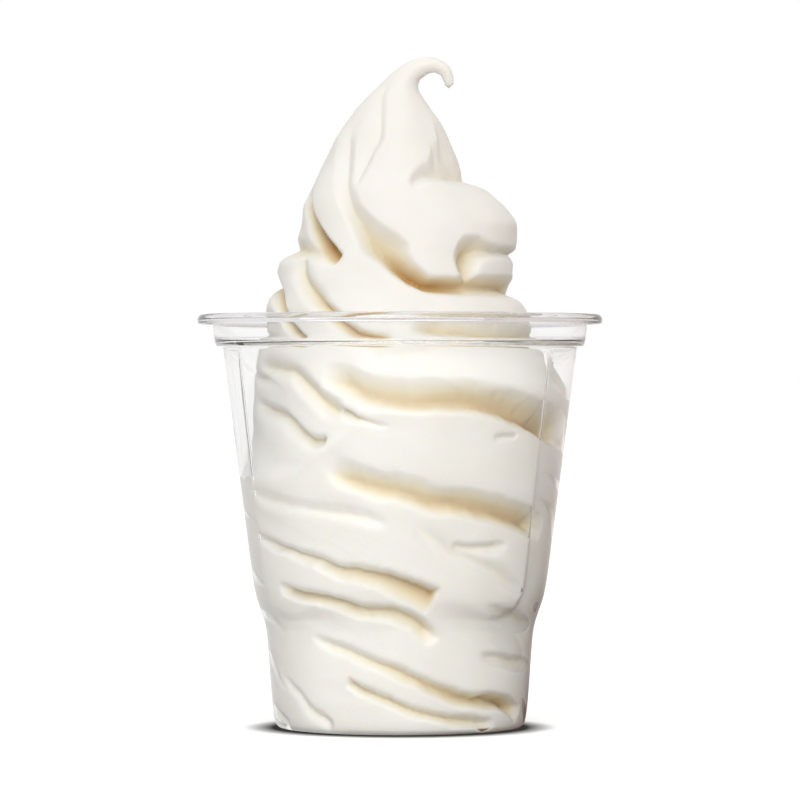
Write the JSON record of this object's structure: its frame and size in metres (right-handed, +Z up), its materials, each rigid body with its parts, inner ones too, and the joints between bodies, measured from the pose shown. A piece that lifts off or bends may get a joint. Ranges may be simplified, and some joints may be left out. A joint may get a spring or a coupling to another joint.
{
  "type": "soft serve cup",
  "caption": "Clear plastic cup with a wide rim, filled with vanilla soft serve that rises above it in a twisted peak with a curled tip.",
  "frame": {"origin": "centre of the cup's base, on the surface that it stands on", "axes": "+Z up along the cup's axis, -Y towards the front, +X to the right of the front, where the tip curls"},
  "size_m": [0.0984, 0.0984, 0.1625],
  "materials": {
    "clear_plastic": "clear and glossy",
    "ice_cream": "smooth, soft and slightly moist"
  },
  "bodies": {
    "root": {"cup": "clear_plastic", "soft_serve": "ice_cream"}
  },
  "joints": []
}
